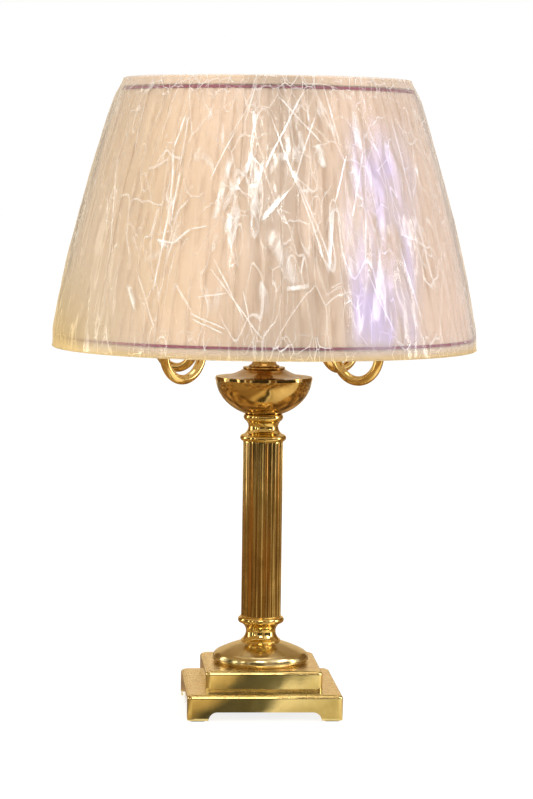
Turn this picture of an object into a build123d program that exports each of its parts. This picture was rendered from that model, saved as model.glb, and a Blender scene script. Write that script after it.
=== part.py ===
from build123d import *
import os
from math import asin, cos, degrees, radians, sin

# A four-light candlestick lamp: a stepped square base on bracket feet, a fluted column
# between two turned collars, an urn, and a cloth shade on a stem above the urn.
# The origin is the middle of the base at floor level, +Z is up and the front faces -Y.

# ------------------------------------------------------------------ fits, millimetres
SNUG = 0.1  # between pieces that are pushed or glued together
ROD_GAP = 0.3  # round the tie rod in the pieces that it holds together
LIFT_GAP = 0.3  # between pieces that turn or lift apart
WIRE_GAP = 0.3  # between the shade's wires and the cloth round them

# ------------------------------------------------------------------ base
PAD_HEIGHT = 1.2
PAD_WIDTH = 15.0
LOWER_WIDTH = 154.0
LOWER_HEIGHT = 25.2
UPPER_WIDTH = 116.5
UPPER_HEIGHT = 20.5
PLINTH_WALL = 4.0
PLINTH_PLATE = 4.0
PLINTH_CORNER = 5.0
EDGE_ROUND = 3.0
PANEL_INSET = 4.0
PANEL_RISE = 0.8
PANEL_CORNER = 3.0
FOOT_WIDTH = 21.0
FOOT_POST = 16.0
ARCH_HEIGHT = 9.5
ARCH_ROUND = 8.8

# ------------------------------------------------------------------ tie rod and weight
ROD_RADIUS = 5.0
ROD_BORE = 3.2
ROD_TAIL = 1.0
NUT_FLATS = 17.0
NUT_HEIGHT = 5.0
WASHER_RADIUS = 14.0
WASHER_HEIGHT = 1.8
WEIGHT_RADIUS = 58.0
WEIGHT_HEIGHT = 11.4
WEIGHT_CHAMFER = 1.5

# ------------------------------------------------------------------ cord inlet
INLET_HEIGHT = 16.0
INLET_BORE = 3.2
INLET_RADIUS = 4.5
INLET_FLANGE = 6.0
INLET_FLANGE_DEPTH = 1.6
INLET_TAIL = 2.0

# ------------------------------------------------------------------ domed foot
DOME_RADIUS = 48.3
DOME_HEIGHT = 21.1
DOME_WALL = 1.6
DOME_TOP_RADIUS = 20.0
DOME_FOOT_RADIUS = 46.2
DOME_WIDEST = 4.3  # height of the widest ring above the upper plinth
DOME_SHOULDER_RADIUS = 43.0
DOME_SHOULDER = 12.1  # height of the shoulder above the upper plinth
DOME_SWELL = 0.6

# ------------------------------------------------------------------ column and its collars
COLUMN_RADIUS = 20.0
COLUMN_WALL = 2.5
COLUMN_HEIGHT = 175.6
FLUTES = 28
FLUTE_RADIUS = 2.2
FLUTE_DEPTH = 0.8
SPIGOT_HEIGHT = 6.0
RING_PROUD = 2.9  # how far a collar's round ring stands out of its seat
RING_HEIGHT = 6.6
SEAT_RADIUS = 20.3
SEAT_HEIGHT = 1.0
WAIST_RADIUS = 15.0
WAIST_HEIGHT = 1.0
FOOT_RADIUS = 19.8
FOOT_BAND = 1.6
FOOT_SWEEP = 8.6
NECKING_HEIGHT = 7.4
BAND_RADIUS = 18.6
BAND_HEIGHT = 5.9
BAND_PROUD = 1.3
BAND_SWEEP = 6.2
BAND_SWELL = 0.8
NECKING_SWELL = 1.2

# ------------------------------------------------------------------ urn
BOWL_RADIUS = 48.3
BOWL_DEPTH = 39.3  # from the rim's line to the lowest point of the full curve
BOWL_HEIGHT = 36.7
BOWL_WALL = 2.0
RIM_BAND = 2.2
RIM_PROUD = 0.4
COVER_HEIGHT = 10.7
COVER_EDGE = 0.9
COVER_WALL = 1.6
COVER_DIP = 2.2
SHOULDER_RADIUS = 20.6
SHOULDER_BEAD = 2.0
NECK_HEIGHT = 16.7
NECK_FOOT_RADIUS = 14.8
NECK_FOOT_BEAD = 2.0
NECK_RADIUS = 10.8
NECK_FLARE_RADIUS = 13.6
NECK_FLARE = 8.0
NECK_RING_RADIUS = 11.6
NECK_RING_HEIGHT = 2.0
NECK_SWELL = 0.9

# ------------------------------------------------------------------ stem and cluster
STEM_RADIUS = 8.0
STEM_HEIGHT = 24.0
CLUSTER_RADIUS = 20.0
CLUSTER_FOOT_RADIUS = 14.0
CLUSTER_HEIGHT = 24.0
CLUSTER_BORE = 12.2
CLUSTER_FLOOR = 4.0
CLUSTER_ROUND = 5.0
CLUSTER_SWELL = 1.1
CLUSTER_NUT_FLATS = 15.0
CLUSTER_NUT_HEIGHT = 5.0
CAP_RADIUS = 16.0
CAP_HEIGHT = 6.0
CAP_SPIGOT = 4.0

# ------------------------------------------------------------------ arms and lights
ARMS = 4
ARM_RADIUS = 4.75
ARM_BORE = 3.75
ARM_BEND = 27.0
ARM_REACH = 147.0
ARM_DROP = 6.0
ARM_RISE = 19.0
ARM_START = 14.5
PAN_RADIUS = 20.0
PAN_HEIGHT = 5.0
PAN_WALL = 1.5
PAN_HUB_RADIUS = 9.0
PAN_BORE = 3.2
PAN_DIP = 1.0
HOLDER_RADIUS = 10.5
HOLDER_HEIGHT = 52.5
SOCKET_DEPTH = 26.0
SLEEVE_WALL = 1.2
SLEEVE_HEIGHT = 55.0
BULB_CAP_RADIUS = 6.9
BULB_CAP_HEIGHT = 27.0
BULB_RADIUS = 17.5
BULB_HEIGHT = 73.0
BULB_WIDEST = 24.0
BULB_TIP_RADIUS = 1.6
BULB_WALL = 1.0

# ------------------------------------------------------------------ shade carrier
SHADE_STEM_RADIUS = 5.0
SHADE_STEM_HEIGHT = 188.0
SHADE_PIN_RADIUS = 3.2
SHADE_PIN_HEIGHT = 12.0
SHADE_SEAT_RADIUS = 12.0
SHADE_SEAT_HEIGHT = 3.0
HUB_RADIUS = 14.0
HUB_HEIGHT = 2.5
SPIDER_ARMS = 4
SPIDER_WIRE = 2.0
SPIDER_BEND = 4.0
SPIDER_FOOT = 8.7  # from a wire's upright to the top ring
FINIAL_FOOT_RADIUS = 9.0
FINIAL_FOOT_HEIGHT = 2.5
FINIAL_NECK_RADIUS = 5.2
FINIAL_NECK_HEIGHT = 6.5
FINIAL_BALL_HEIGHT = 14.0
FINIAL_TIP_RADIUS = 2.2
FINIAL_TIP_HEIGHT = 3.5
FINIAL_HOLLOW = 1.4
FINIAL_SWELL = 4.6
FINIAL_END_RADIUS = 0.8

# ------------------------------------------------------------------ shade
SHADE_DROP = 34.5  # from the shade's top edge down to the spider's hub
SHADE_HEIGHT = 265.8
SHADE_FLARE = 63.5  # from the lights' middles out to the shade's bottom edge
SHADE_TOP_RADIUS = 141.2
SHADE_BOW = 5.5  # how far the side swells out of the straight cone
FRAME_WIRE = 2.0
RIB_WIRE = 1.2
RIBS = 8
PLEATS = 84
PLEAT_DEPTH = 2.2
PLEAT_LEAN = 0.3  # share of a pleat that is its short return
PLEAT_LEVELS = 5
CLOTH = 1.0
LINING = 1.0
BINDING = 1.0
BINDING_HEIGHT = 9.0
BINDING_ROUND = 1.8
RIBBON = 0.5
RIBBON_WIDTH = 2.6
RIBBON_STEP = 0.9  # between a binding and the ribbon beside it
FILM = 0.4
FILM_BULGE = 3.2
FILM_TURN = 8.0
FILM_EASE = 1.2

# ------------------------------------------------------------------ heights, worked out
LOWER_TOP = PAD_HEIGHT + LOWER_HEIGHT
UPPER_TOP = LOWER_TOP + UPPER_HEIGHT
DOME_TOP = UPPER_TOP + DOME_HEIGHT
LOWER_COLLAR_HEIGHT = FOOT_BAND + FOOT_SWEEP + WAIST_HEIGHT + NECKING_HEIGHT + RING_HEIGHT + SEAT_HEIGHT
COLUMN_BOTTOM = DOME_TOP + LOWER_COLLAR_HEIGHT
COLUMN_TOP = COLUMN_BOTTOM + COLUMN_HEIGHT
UPPER_COLLAR_HEIGHT = SEAT_HEIGHT + RING_HEIGHT + NECKING_HEIGHT + WAIST_HEIGHT + BAND_SWEEP + BAND_HEIGHT
BOWL_BOTTOM = COLUMN_TOP + UPPER_COLLAR_HEIGHT
RIM_TOP = BOWL_BOTTOM + BOWL_HEIGHT
COVER_TOP = RIM_TOP + COVER_HEIGHT
NECK_TOP = COVER_TOP + NECK_HEIGHT
CLUSTER_BOTTOM = NECK_TOP + STEM_HEIGHT
CLUSTER_TOP = CLUSTER_BOTTOM + CLUSTER_HEIGHT
CAP_TOP = CLUSTER_TOP + CAP_HEIGHT
ARM_LEVEL = CLUSTER_BOTTOM + CLUSTER_HEIGHT / 2
BEND_LEVEL = ARM_LEVEL - ARM_BEND - ARM_DROP
ARM_TOP = BEND_LEVEL + ARM_RISE
PAN_FLOOR = ARM_TOP + PAN_WALL
HOLDER_TOP = PAN_FLOOR + HOLDER_HEIGHT
BULB_BOTTOM = HOLDER_TOP - SOCKET_DEPTH + LIFT_GAP
GLASS_BOTTOM = BULB_BOTTOM + BULB_CAP_HEIGHT
SHADE_STEM_BOTTOM = CLUSTER_TOP - CAP_SPIGOT
SHADE_SEAT = SHADE_STEM_BOTTOM + SHADE_STEM_HEIGHT
HUB_TOP = SHADE_SEAT + HUB_HEIGHT
SHADE_TOP = HUB_TOP + SHADE_DROP
SHADE_BOTTOM = SHADE_TOP - SHADE_HEIGHT
SHADE_BOTTOM_RADIUS = ARM_REACH + SHADE_FLARE
WEIGHT_BOTTOM = LOWER_TOP - PLINTH_PLATE - WEIGHT_HEIGHT
NUT_TOP = WEIGHT_BOTTOM - WASHER_HEIGHT
ROD_BOTTOM = NUT_TOP - NUT_HEIGHT - ROD_TAIL
CLUSTER_NUT_TOP = CLUSTER_BOTTOM + CLUSTER_FLOOR + CLUSTER_NUT_HEIGHT
ROD_TOP = CLUSTER_NUT_TOP + ROD_TAIL
ROD_HOLE = ROD_RADIUS + ROD_GAP
NUT_HOLE = ROD_RADIUS + SNUG / 2

pieces = {}


def outline(start, *steps):
    """Draw a closed outline: (r, z) is a straight run, (r, z, bulge) an arc that bulges left of it."""
    here = start
    for step in steps:
        there = step[:2]
        if len(step) == 3:
            SagittaArc(here, there, step[2])
        else:
            Line(here, there)
        here = there
    Line(here, start)


def skin_radius(z):
    """Radius of the pleats' crests at height z: a cone whose side swells by SHADE_BOW."""
    share = (z - SHADE_BOTTOM) / SHADE_HEIGHT
    straight = SHADE_BOTTOM_RADIUS + (SHADE_TOP_RADIUS - SHADE_BOTTOM_RADIUS) * share
    return straight + 4 * SHADE_BOW * share * (1 - share)


def skin_curve(low, high, out):
    """The shade's side from low to high, moved out by out, as an arc."""
    middle = (low + high) / 2
    points = [(skin_radius(z) + out, z) for z in (low, middle, high)]
    return ThreePointArc(*points)


def skin_band(low, high, inner, outer):
    """The closed outline of a layer that follows the shade's side."""
    inside = skin_curve(low, high, inner)
    outside = skin_curve(low, high, outer)
    Line(inside @ 0, outside @ 0)
    Line(inside @ 1, outside @ 1)


def radial_plane(angle):
    """A standing plane through the lamp's axis: x points out at angle, y points up."""
    out = (cos(radians(angle)), sin(radians(angle)), 0)
    return Plane(origin=(0, 0, 0), x_dir=out, z_dir=(out[1], -out[0], 0))


# ------------------------------------------------------------------ plinths
def moulded_block(width, bottom, top):
    """A hollow square block with a rounded edge round a slightly raised panel."""
    shelf = top - PANEL_RISE
    panel = width - 2 * PANEL_INSET
    hollow = width - 2 * PLINTH_WALL
    with BuildPart() as block:
        with BuildSketch(Plane.XY.offset(bottom)):
            RectangleRounded(width, width, PLINTH_CORNER)
        extrude(amount=shelf - bottom)
        fillet(block.faces().sort_by(Axis.Z)[-1].edges(), EDGE_ROUND)
        with BuildSketch(Plane.XY.offset(shelf)):
            RectangleRounded(panel, panel, PANEL_CORNER)
        extrude(amount=PANEL_RISE)
        with BuildSketch(Plane.XY.offset(bottom)):
            Rectangle(hollow, hollow)
        extrude(amount=top - PLINTH_PLATE - bottom, mode=Mode.SUBTRACT)
        with BuildSketch(Plane.XY.offset(bottom)):
            Circle(ROD_HOLE)
        extrude(amount=top - bottom, mode=Mode.SUBTRACT)
    return block.part


post_place = LOWER_WIDTH / 2 - PLINTH_WALL - FOOT_POST / 2
inlet_wall = LOWER_WIDTH / 2 - PLINTH_WALL
with BuildPart() as lower_plinth:
    add(moulded_block(LOWER_WIDTH, PAD_HEIGHT, LOWER_TOP))
    with BuildSketch(Plane.XY.offset(PAD_HEIGHT)):
        with GridLocations(2 * post_place, 2 * post_place, 2, 2):
            Rectangle(FOOT_POST, FOOT_POST)
    extrude(amount=LOWER_HEIGHT - PLINTH_PLATE)
    for side in (Plane.XZ, Plane.YZ):
        with BuildSketch(side) as arch:
            Rectangle(LOWER_WIDTH - 2 * FOOT_WIDTH, 2 * ARCH_HEIGHT)
            fillet(arch.vertices(), ARCH_ROUND)
        extrude(amount=LOWER_WIDTH, both=True, mode=Mode.SUBTRACT)
    with BuildSketch(Plane.XZ.offset(-inlet_wall)):
        with Locations((0, INLET_HEIGHT)):
            Circle(INLET_RADIUS + SNUG)
    extrude(amount=-PLINTH_WALL, mode=Mode.SUBTRACT)
pieces["lower_plinth"] = lower_plinth.part

with BuildPart() as upper_plinth:
    add(moulded_block(UPPER_WIDTH, LOWER_TOP, UPPER_TOP))
pieces["upper_plinth"] = upper_plinth.part

pad_place = LOWER_WIDTH / 2 - FOOT_WIDTH / 2
with BuildPart() as foot_pads:
    with BuildSketch():
        with GridLocations(2 * pad_place, 2 * pad_place, 2, 2):
            RectangleRounded(PAD_WIDTH, PAD_WIDTH, PANEL_CORNER)
    extrude(amount=PAD_HEIGHT)
pieces["foot_pads"] = foot_pads.part

# ------------------------------------------------------------------ weight, rod and nuts
with BuildPart() as base_weight:
    with BuildSketch(Plane.XY.offset(WEIGHT_BOTTOM)):
        Circle(WEIGHT_RADIUS)
        Circle(ROD_HOLE, mode=Mode.SUBTRACT)
    extrude(amount=WEIGHT_HEIGHT)
    chamfer(base_weight.edges().filter_by(GeomType.CIRCLE).group_by(SortBy.RADIUS)[-1], WEIGHT_CHAMFER)
pieces["base_weight"] = base_weight.part

with BuildPart() as weight_washer:
    with BuildSketch(Plane.XY.offset(NUT_TOP)):
        Circle(WASHER_RADIUS)
        Circle(ROD_HOLE, mode=Mode.SUBTRACT)
    extrude(amount=WASHER_HEIGHT)
pieces["weight_washer"] = weight_washer.part

for nut_name, flats, top, height in (
    ("base_nut", NUT_FLATS, NUT_TOP, NUT_HEIGHT),
    ("cluster_nut", CLUSTER_NUT_FLATS, CLUSTER_NUT_TOP, CLUSTER_NUT_HEIGHT),
):
    with BuildPart() as nut:
        with BuildSketch(Plane.XY.offset(top - height)):
            RegularPolygon(flats / 2, 6, major_radius=False)
            Circle(NUT_HOLE, mode=Mode.SUBTRACT)
        extrude(amount=height)
    pieces[nut_name] = nut.part

with BuildPart() as tie_rod:
    with BuildSketch(Plane.XY.offset(ROD_BOTTOM)):
        Circle(ROD_RADIUS)
        Circle(ROD_BORE, mode=Mode.SUBTRACT)
    extrude(amount=ROD_TOP - ROD_BOTTOM)
pieces["tie_rod"] = tie_rod.part

with BuildPart() as cord_bushing:
    with BuildSketch(Plane.XZ.offset(INLET_TAIL - inlet_wall)):
        with Locations((0, INLET_HEIGHT)):
            Circle(INLET_RADIUS)
    extrude(amount=-INLET_TAIL - PLINTH_WALL)
    with BuildSketch(Plane.XZ.offset(-inlet_wall - PLINTH_WALL)):
        with Locations((0, INLET_HEIGHT)):
            Circle(INLET_FLANGE)
    extrude(amount=-INLET_FLANGE_DEPTH)
    fillet(cord_bushing.faces().sort_by(Axis.Y)[-1].edges(), INLET_FLANGE_DEPTH / 2)
    with BuildSketch(Plane.XZ.offset(INLET_TAIL - inlet_wall)):
        with Locations((0, INLET_HEIGHT)):
            Circle(INLET_BORE)
    extrude(amount=-INLET_TAIL - PLINTH_WALL - INLET_FLANGE_DEPTH, mode=Mode.SUBTRACT)
pieces["cord_bushing"] = cord_bushing.part

# ------------------------------------------------------------------ domed foot
with BuildPart() as base_dome:
    for wall in (0, DOME_WALL):
        with BuildSketch(Plane.XZ):
            with BuildLine():
                foot = (DOME_FOOT_RADIUS - wall, UPPER_TOP)
                widest = (DOME_RADIUS - wall, UPPER_TOP + DOME_WIDEST)
                shoulder = (DOME_SHOULDER_RADIUS - wall / 2, UPPER_TOP + DOME_SHOULDER - wall)
                top_edge = (DOME_TOP_RADIUS, DOME_TOP - wall)
                hub = (ROD_HOLE, DOME_TOP - wall)
                TangentArc(widest, foot, tangent=(0, -1))
                TangentArc(widest, shoulder, tangent=(0, 1))
                SagittaArc(shoulder, top_edge, -DOME_SWELL)
                Line(top_edge, hub)
                Line(hub, (ROD_HOLE, UPPER_TOP))
                Line((ROD_HOLE, UPPER_TOP), foot)
            make_face()
        revolve(axis=Axis.Z, mode=Mode.SUBTRACT if wall else Mode.ADD)
pieces["base_dome"] = base_dome.part

# ------------------------------------------------------------------ collars and column
spigot_radius = COLUMN_RADIUS - COLUMN_WALL - SNUG
foot_top = DOME_TOP + FOOT_BAND
waist_low = foot_top + FOOT_SWEEP
waist_high = waist_low + WAIST_HEIGHT
ring_low = waist_high + NECKING_HEIGHT
ring_high = ring_low + RING_HEIGHT
with BuildPart() as lower_collar:
    with BuildSketch(Plane.XZ):
        with BuildLine():
            outline(
                (ROD_HOLE, DOME_TOP),
                (FOOT_RADIUS, DOME_TOP),
                (FOOT_RADIUS, foot_top),
                (WAIST_RADIUS, waist_low, NECKING_SWELL),
                (WAIST_RADIUS, waist_high),
                (SEAT_RADIUS, ring_low, NECKING_SWELL),
                (SEAT_RADIUS, ring_high, -RING_PROUD),
                (SEAT_RADIUS, COLUMN_BOTTOM),
                (spigot_radius, COLUMN_BOTTOM),
                (spigot_radius, COLUMN_BOTTOM + SPIGOT_HEIGHT),
                (ROD_HOLE, COLUMN_BOTTOM + SPIGOT_HEIGHT),
            )
        make_face()
    revolve(axis=Axis.Z)
pieces["lower_collar"] = lower_collar.part

with BuildPart() as column:
    with BuildSketch(Plane.XY.offset(COLUMN_BOTTOM)):
        Circle(COLUMN_RADIUS)
        Circle(COLUMN_RADIUS - COLUMN_WALL, mode=Mode.SUBTRACT)
        with PolarLocations(COLUMN_RADIUS + FLUTE_RADIUS - FLUTE_DEPTH, FLUTES):
            Circle(FLUTE_RADIUS, mode=Mode.SUBTRACT)
    extrude(amount=COLUMN_HEIGHT)
pieces["column"] = column.part

upper_ring_low = COLUMN_TOP + SEAT_HEIGHT
upper_ring_high = upper_ring_low + RING_HEIGHT
upper_waist_low = upper_ring_high + NECKING_HEIGHT
upper_waist_high = upper_waist_low + WAIST_HEIGHT
band_low = BOWL_BOTTOM - BAND_HEIGHT
with BuildPart() as upper_collar:
    with BuildSketch(Plane.XZ):
        with BuildLine():
            outline(
                (ROD_HOLE, COLUMN_TOP - SPIGOT_HEIGHT),
                (spigot_radius, COLUMN_TOP - SPIGOT_HEIGHT),
                (spigot_radius, COLUMN_TOP),
                (SEAT_RADIUS, COLUMN_TOP),
                (SEAT_RADIUS, upper_ring_low),
                (SEAT_RADIUS, upper_ring_high, -RING_PROUD),
                (WAIST_RADIUS, upper_waist_low, NECKING_SWELL),
                (WAIST_RADIUS, upper_waist_high),
                (BAND_RADIUS, band_low, BAND_SWELL),
                (BAND_RADIUS, BOWL_BOTTOM, -BAND_PROUD),
                (ROD_HOLE, BOWL_BOTTOM),
            )
        make_face()
    revolve(axis=Axis.Z)
pieces["upper_collar"] = upper_collar.part

# ------------------------------------------------------------------ urn
def bowl_arc(wall, level):
    """The bowl's curve from height level up to the rim's line, wall inside the outer face."""
    centre = (0, BOWL_BOTTOM + BOWL_HEIGHT)
    drop = (RIM_TOP - level) / (BOWL_DEPTH - wall)
    start = -degrees(asin(drop))
    return EllipticalCenterArc(centre, BOWL_RADIUS - wall, BOWL_DEPTH - wall, start, arc_size=-start)


with BuildPart() as urn_bowl:
    with BuildSketch(Plane.XZ):
        with BuildLine():
            outside = bowl_arc(0, BOWL_BOTTOM)
            inside = bowl_arc(BOWL_WALL, BOWL_BOTTOM + BOWL_WALL)
            Line(outside @ 1, inside @ 1)
            Line(inside @ 0, (ROD_HOLE, BOWL_BOTTOM + BOWL_WALL))
            Line((ROD_HOLE, BOWL_BOTTOM + BOWL_WALL), (ROD_HOLE, BOWL_BOTTOM))
            Line((ROD_HOLE, BOWL_BOTTOM), outside @ 0)
        make_face()
    revolve(axis=Axis.Z)
    with BuildSketch(Plane.XY.offset(RIM_TOP - RIM_BAND)):
        Circle(BOWL_RADIUS + RIM_PROUD)
        Circle(BOWL_RADIUS - BOWL_WALL / 2, mode=Mode.SUBTRACT)
    extrude(amount=RIM_BAND)
pieces["urn_bowl"] = urn_bowl.part

edge_top = RIM_TOP + COVER_EDGE
shoulder_low = COVER_TOP - SHOULDER_BEAD
with BuildPart() as urn_cover:
    with BuildSketch(Plane.XZ):
        with BuildLine():
            outline(
                (BOWL_RADIUS, RIM_TOP),
                (BOWL_RADIUS, edge_top),
                (SHOULDER_RADIUS, shoulder_low, COVER_DIP),
                (SHOULDER_RADIUS, COVER_TOP, -SHOULDER_BEAD / 3),
                (ROD_HOLE, COVER_TOP),
                (ROD_HOLE, COVER_TOP - COVER_WALL),
                (SHOULDER_RADIUS - COVER_WALL, COVER_TOP - COVER_WALL),
                (SHOULDER_RADIUS - COVER_WALL, shoulder_low - COVER_WALL),
                (BOWL_RADIUS - BOWL_WALL, RIM_TOP, -COVER_DIP),
            )
        make_face()
    revolve(axis=Axis.Z)
pieces["urn_cover"] = urn_cover.part

flare_low = COVER_TOP + NECK_FOOT_BEAD
flare_high = flare_low + NECK_FLARE
neck_ring = NECK_TOP - NECK_RING_HEIGHT
with BuildPart() as neck:
    with BuildSketch(Plane.XZ):
        with BuildLine():
            outline(
                (ROD_HOLE, COVER_TOP),
                (NECK_FOOT_RADIUS, COVER_TOP),
                (NECK_FOOT_RADIUS, flare_low, -NECK_FOOT_BEAD / 4),
                (NECK_FLARE_RADIUS, flare_low),
                (NECK_RADIUS, flare_high, NECK_SWELL),
                (NECK_RADIUS, neck_ring),
                (NECK_RING_RADIUS, neck_ring),
                (NECK_RING_RADIUS, NECK_TOP, -NECK_RING_HEIGHT / 4),
                (ROD_HOLE, NECK_TOP),
            )
        make_face()
    revolve(axis=Axis.Z)
pieces["neck"] = neck.part

with BuildPart() as stem:
    with BuildSketch(Plane.XY.offset(NECK_TOP)):
        Circle(STEM_RADIUS)
        Circle(ROD_HOLE, mode=Mode.SUBTRACT)
    extrude(amount=STEM_HEIGHT)
pieces["stem"] = stem.part

# ------------------------------------------------------------------ cluster
cluster_floor = CLUSTER_BOTTOM + CLUSTER_FLOOR
arm_angles = [45 + 360 / ARMS * number for number in range(ARMS)]
with BuildPart() as cluster_body:
    with BuildSketch(Plane.XZ):
        with BuildLine():
            outline(
                (ROD_HOLE, CLUSTER_BOTTOM),
                (CLUSTER_FOOT_RADIUS, CLUSTER_BOTTOM),
                (CLUSTER_RADIUS, CLUSTER_BOTTOM + CLUSTER_ROUND, -CLUSTER_SWELL),
                (CLUSTER_RADIUS, CLUSTER_TOP - CLUSTER_ROUND),
                (CAP_RADIUS, CLUSTER_TOP, -CLUSTER_SWELL),
                (CLUSTER_BORE, CLUSTER_TOP),
                (CLUSTER_BORE, cluster_floor),
                (ROD_HOLE, cluster_floor),
            )
        make_face()
    revolve(axis=Axis.Z)
    for angle in arm_angles:
        out = radial_plane(angle).x_dir
        with BuildSketch(Plane(origin=(0, 0, ARM_LEVEL), z_dir=out)):
            Circle(ARM_RADIUS + SNUG)
        extrude(amount=2 * CLUSTER_RADIUS, mode=Mode.SUBTRACT)
pieces["cluster_body"] = cluster_body.part

with BuildPart() as cluster_cap:
    with BuildSketch(Plane.XZ):
        with BuildLine():
            outline(
                (SHADE_STEM_RADIUS + SNUG, CLUSTER_TOP - CAP_SPIGOT),
                (CLUSTER_BORE - SNUG, CLUSTER_TOP - CAP_SPIGOT),
                (CLUSTER_BORE - SNUG, CLUSTER_TOP),
                (CAP_RADIUS, CLUSTER_TOP),
                (SHADE_STEM_RADIUS + CAP_SPIGOT, CAP_TOP, -CLUSTER_SWELL),
                (SHADE_STEM_RADIUS + SNUG, CAP_TOP),
            )
        make_face()
    revolve(axis=Axis.Z)
pieces["cluster_cap"] = cluster_cap.part

# ------------------------------------------------------------------ arms, pans, sleeves, holders and bulbs
sleeve_bore = HOLDER_RADIUS + SNUG
socket_radius = BULB_CAP_RADIUS + LIFT_GAP
socket_floor = HOLDER_TOP - SOCKET_DEPTH
inner_leg = ARM_REACH - 2 * ARM_BEND
for number, angle in enumerate(arm_angles, start=1):
    standing = radial_plane(angle)
    tip = standing.x_dir * ARM_REACH
    tip_axis = Axis((tip.X, tip.Y, 0), (0, 0, 1))
    tip_plane = Plane(origin=(tip.X, tip.Y, 0), x_dir=standing.x_dir, z_dir=standing.z_dir)

    with BuildPart() as arm:
        with BuildLine(standing):
            run = Line((ARM_START, ARM_LEVEL), (inner_leg - ARM_BEND, ARM_LEVEL))
            shoulder_bend = RadiusArc(run @ 1, (inner_leg, ARM_LEVEL - ARM_BEND), ARM_BEND)
            drop = Line(shoulder_bend @ 1, (inner_leg, BEND_LEVEL))
            low_bend = SagittaArc(drop @ 1, (ARM_REACH, BEND_LEVEL), -ARM_BEND)
            Line(low_bend @ 1, (ARM_REACH, ARM_TOP))
        with BuildSketch(Plane(origin=run @ 0, z_dir=run % 0)):
            Circle(ARM_RADIUS)
            Circle(ARM_BORE, mode=Mode.SUBTRACT)
        sweep()
    pieces[f"arm_{number}"] = arm.part

    with BuildPart() as drip_pan:
        with BuildSketch(tip_plane):
            with BuildLine():
                outline(
                    (PAN_BORE, ARM_TOP),
                    (PAN_HUB_RADIUS, ARM_TOP),
                    (PAN_RADIUS, ARM_TOP + PAN_HEIGHT - PAN_WALL, -PAN_DIP),
                    (PAN_RADIUS, ARM_TOP + PAN_HEIGHT),
                    (HOLDER_RADIUS + 2 * SLEEVE_WALL, PAN_FLOOR, PAN_DIP),
                    (PAN_BORE, PAN_FLOOR),
                )
            make_face()
        revolve(axis=tip_axis)
    pieces[f"drip_pan_{number}"] = drip_pan.part

    with BuildPart() as lampholder:
        with BuildSketch(tip_plane):
            with BuildLine():
                outline(
                    (0, PAN_FLOOR),
                    (HOLDER_RADIUS, PAN_FLOOR),
                    (HOLDER_RADIUS, HOLDER_TOP),
                    (socket_radius, HOLDER_TOP),
                    (socket_radius, socket_floor),
                    (0, socket_floor),
                )
            make_face()
        revolve(axis=tip_axis)
    pieces[f"lampholder_{number}"] = lampholder.part

    with BuildPart() as candle_sleeve:
        with BuildSketch(tip_plane):
            with BuildLine():
                outline(
                    (sleeve_bore, PAN_FLOOR),
                    (sleeve_bore + SLEEVE_WALL, PAN_FLOOR),
                    (sleeve_bore + SLEEVE_WALL, PAN_FLOOR + SLEEVE_HEIGHT),
                    (sleeve_bore, PAN_FLOOR + SLEEVE_HEIGHT),
                )
            make_face()
        revolve(axis=tip_axis)
    pieces[f"candle_sleeve_{number}"] = candle_sleeve.part

    with BuildPart() as bulb_cap:
        with BuildSketch(tip_plane):
            with BuildLine():
                outline(
                    (0, BULB_BOTTOM),
                    (BULB_CAP_RADIUS / 2, BULB_BOTTOM),
                    (BULB_CAP_RADIUS, BULB_BOTTOM + BULB_CAP_RADIUS / 2),
                    (BULB_CAP_RADIUS, GLASS_BOTTOM),
                    (0, GLASS_BOTTOM),
                )
            make_face()
        revolve(axis=tip_axis)
    pieces[f"bulb_cap_{number}"] = bulb_cap.part

    with BuildPart() as bulb_glass:
        for wall in (0, BULB_WALL):
            with BuildSketch(tip_plane):
                with BuildLine():
                    low = (BULB_CAP_RADIUS - wall, GLASS_BOTTOM)
                    widest = (BULB_RADIUS - wall, GLASS_BOTTOM + BULB_WIDEST)
                    tip_side = (BULB_TIP_RADIUS - wall / 2, GLASS_BOTTOM + BULB_HEIGHT - wall)
                    tip_middle = (0, GLASS_BOTTOM + BULB_HEIGHT - wall)
                    TangentArc(widest, low, tangent=(0, -1))
                    TangentArc(widest, tip_side, tangent=(0, 1))
                    Line(tip_side, tip_middle)
                    Line(tip_middle, (0, GLASS_BOTTOM))
                    Line((0, GLASS_BOTTOM), low)
                make_face()
            revolve(axis=tip_axis, mode=Mode.SUBTRACT if wall else Mode.ADD)
    pieces[f"bulb_glass_{number}"] = bulb_glass.part

# ------------------------------------------------------------------ shade carrier
with BuildPart() as shade_stem:
    with BuildSketch(Plane.XY.offset(SHADE_STEM_BOTTOM)):
        Circle(SHADE_STEM_RADIUS)
    extrude(amount=SHADE_STEM_HEIGHT)
    with BuildSketch(Plane.XY.offset(SHADE_SEAT)):
        Circle(SHADE_PIN_RADIUS)
    extrude(amount=SHADE_PIN_HEIGHT)
pieces["shade_stem"] = shade_stem.part

with BuildPart() as shade_seat:
    with BuildSketch(Plane.XY.offset(SHADE_SEAT - SHADE_SEAT_HEIGHT)):
        Circle(SHADE_SEAT_RADIUS)
        Circle(SHADE_STEM_RADIUS + SNUG, mode=Mode.SUBTRACT)
    extrude(amount=SHADE_SEAT_HEIGHT)
    chamfer(shade_seat.edges().group_by(Axis.Z)[0].group_by(SortBy.RADIUS)[-1], SHADE_SEAT_HEIGHT / 2)
pieces["shade_seat"] = shade_seat.part

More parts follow.
